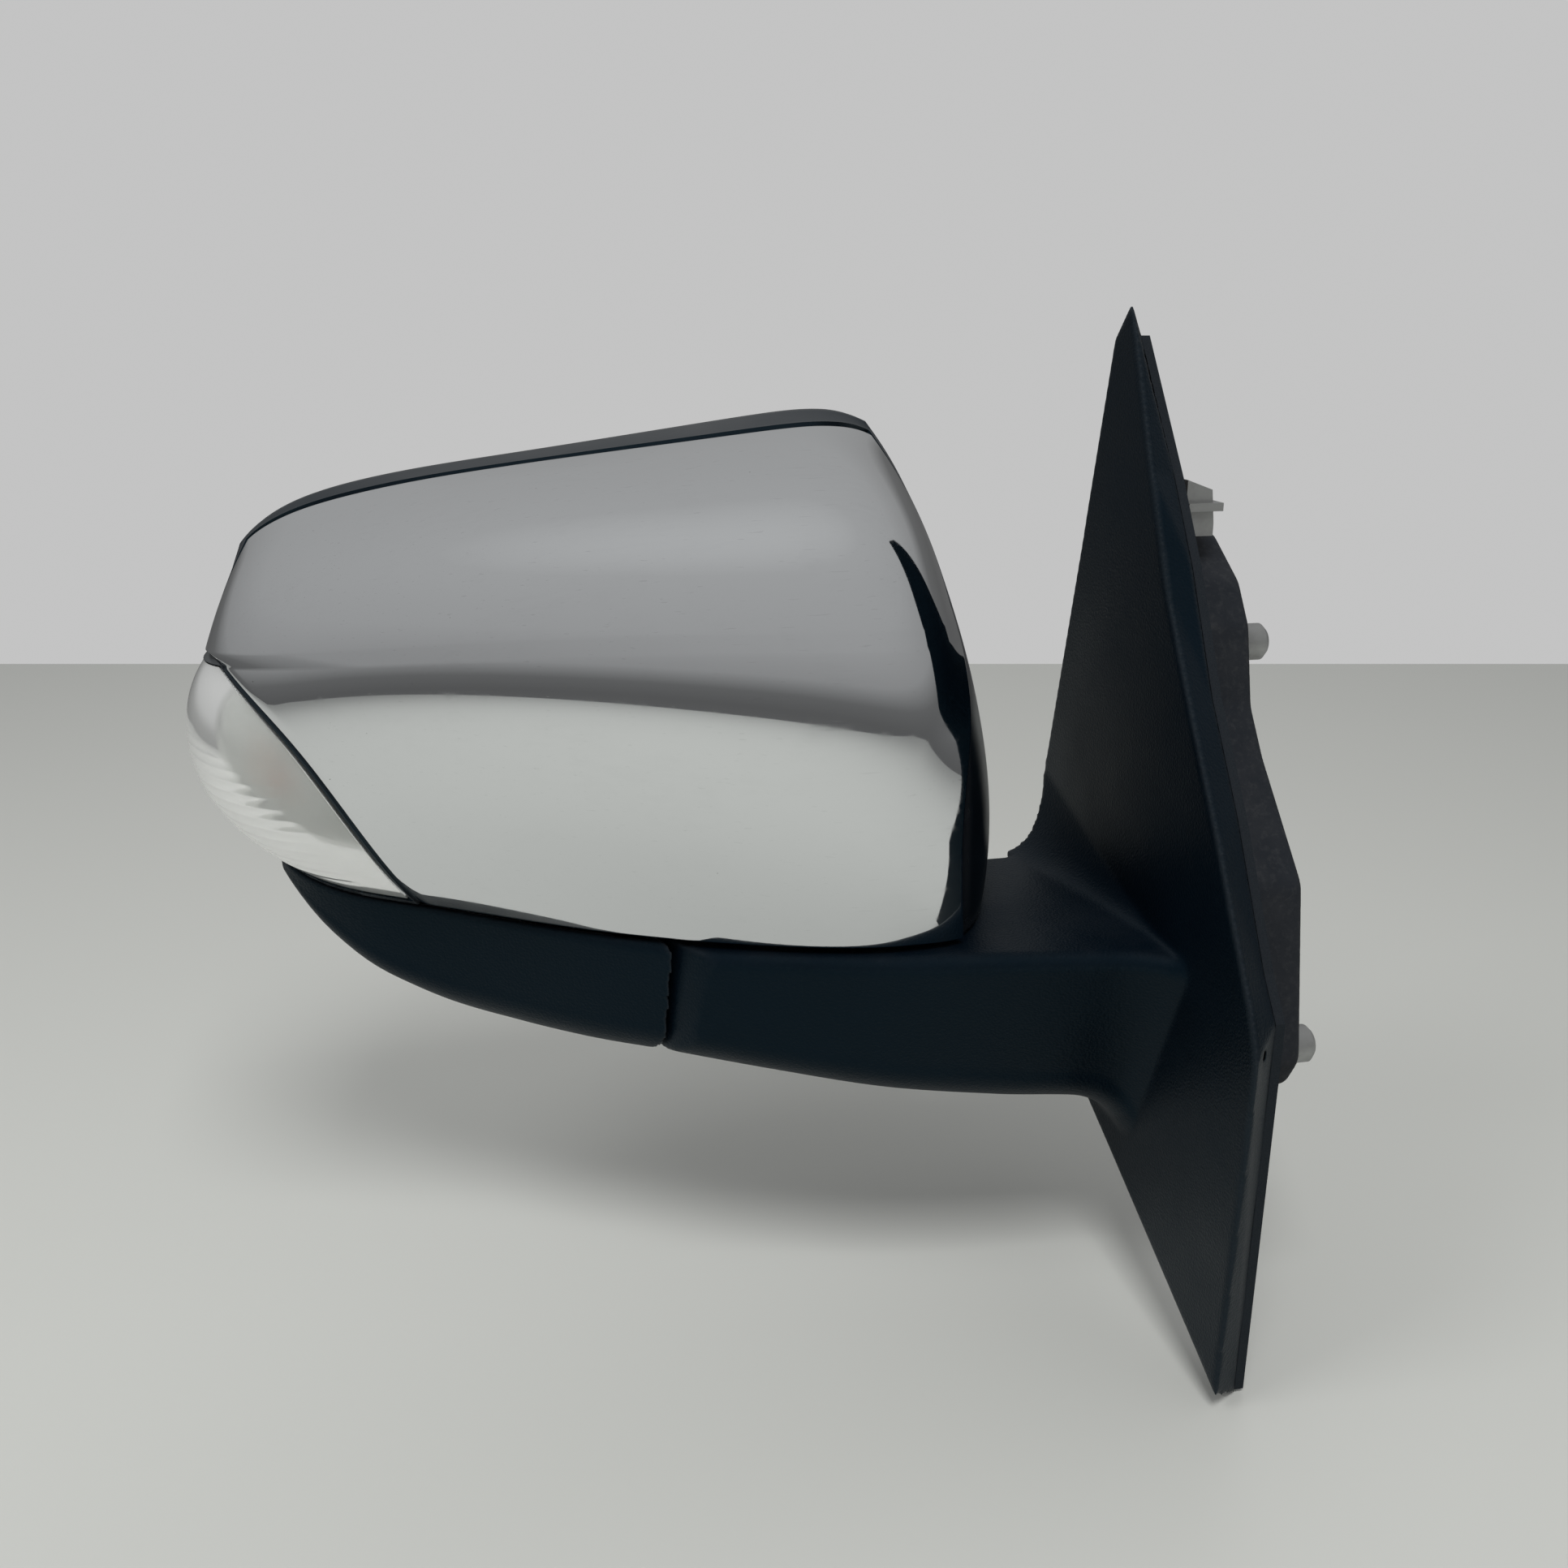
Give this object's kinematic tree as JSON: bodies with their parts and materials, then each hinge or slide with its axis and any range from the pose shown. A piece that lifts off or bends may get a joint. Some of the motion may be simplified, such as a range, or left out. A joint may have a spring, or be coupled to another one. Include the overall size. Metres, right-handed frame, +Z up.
{
  "type": "car side mirror",
  "caption": "Folding car side mirror: chromed head with a wrap-round clear signal lamp, black arm and triangular sail cover for the door.",
  "frame": {"origin": "on the door plane, at the mount door_face, about level with the head's floor", "axes": "+X inboard towards the vehicle, normal to the door; +Y rearward, the way the glass faces; +Z up"},
  "size_m": [0.3427, 0.1855, 0.327],
  "materials": {
    "black_plastic": "black fine-textured moulded plastic",
    "housing_black": "smooth satin black moulded plastic",
    "gasket_rubber": "soft black sealing rubber",
    "block_foam": "dusty black dense sealing foam",
    "cast_alloy": "as-cast grey alloy",
    "steel": "zinc-plated steel",
    "spring_steel": "oiled spring steel",
    "bearing_plastic": "natural acetal",
    "frame_plastic": "glass-filled black nylon",
    "chrome_plating": "mirror-bright chrome plating on moulded plastic",
    "lens_clear": "clear moulded lens",
    "lamp_white": "pale satin reflector",
    "bulb_amber": "amber coated bulb",
    "holder_grey": "dark grey moulded socket",
    "heater_film": "amber film with a printed track",
    "mirror_silver": "silvered mirror glass"
  },
  "bodies": {
    "base": {"sail_cover": "black_plastic", "door_gasket": "gasket_rubber", "base_bracket": "cast_alloy", "seal_block": "block_foam", "harness_grommet": "gasket_rubber", "bracket_screws": "steel", "pivot_shaft": "steel", "detent_ring": "steel", "fold_spring": "spring_steel", "spring_retainer": "steel", "retaining_clip": "steel"},
    "head": {"pivot_bush": "bearing_plastic", "head_frame": "frame_plastic", "mirror_housing": "housing_black", "chrome_cap": "chrome_plating", "lower_head_cover": "black_plastic", "housing_screws": "steel", "lamp_lens": "lens_clear", "lamp_body": "lamp_white", "lamp_bulb": "bulb_amber", "bulb_holder": "holder_grey", "actuator_case": "frame_plastic", "actuator_cover": "frame_plastic", "actuator_screws": "steel", "pan_motor": "steel", "tilt_motor": "steel"},
    "gimbal": {"gimbal_ring": "holder_grey"},
    "glass": {"glass_holder": "frame_plastic", "heater_pad": "heater_film", "mirror_glass": "mirror_silver"},
    "pan_screw": {"pan_jackscrew": "bearing_plastic"},
    "tilt_screw": {"tilt_jackscrew": "bearing_plastic"},
    "pan_nut": {"pan_wheel": "bearing_plastic"},
    "tilt_nut": {"tilt_wheel": "bearing_plastic"}
  },
  "joints": [
    {"name": "head_fold", "type": "hinge", "parent": "base", "child": "head", "pos_m": [-0.125, 0.046, 0], "axis": [0, 0, 1], "range_deg": [-62, 35]},
    {"name": "glass_tilt", "type": "hinge", "parent": "head", "child": "gimbal", "pos_m": [-0.172, 0.0795, 0.076], "axis": [1, 0, 0], "range_deg": [-6, 6]},
    {"name": "glass_pan", "type": "hinge", "parent": "gimbal", "child": "glass", "pos_m": [-0.172, 0.0795, 0.076], "axis": [0, 0, 1], "range_deg": [-6, 6]},
    {"name": "pan_screw_slide", "type": "slide", "parent": "head", "child": "pan_screw", "axis": [0, 1, 0], "range_m": [-0.0031, 0.0031]},
    {"name": "tilt_screw_slide", "type": "slide", "parent": "head", "child": "tilt_screw", "axis": [0, 1, 0], "range_m": [-0.0031, 0.0031]},
    {"name": "pan_nut_spin", "type": "hinge", "parent": "head", "child": "pan_nut", "pos_m": [-0.144, 0.067, 0.076], "axis": [0, 1, 0], "range_deg": [-180, 180]},
    {"name": "tilt_nut_spin", "type": "hinge", "parent": "head", "child": "tilt_nut", "pos_m": [-0.172, 0.067, 0.048], "axis": [0, 1, 0], "range_deg": [-180, 180]}
  ],
  "couplings": [
    {"joint": "pan_screw_slide", "follows": "glass_pan", "m_per_rad": 0.028},
    {"joint": "tilt_screw_slide", "follows": "glass_tilt", "m_per_rad": 0.028},
    {"joint": "pan_nut_spin", "follows": "glass_pan", "ratio": 29.322},
    {"joint": "tilt_nut_spin", "follows": "glass_tilt", "ratio": 29.322}
  ]
}
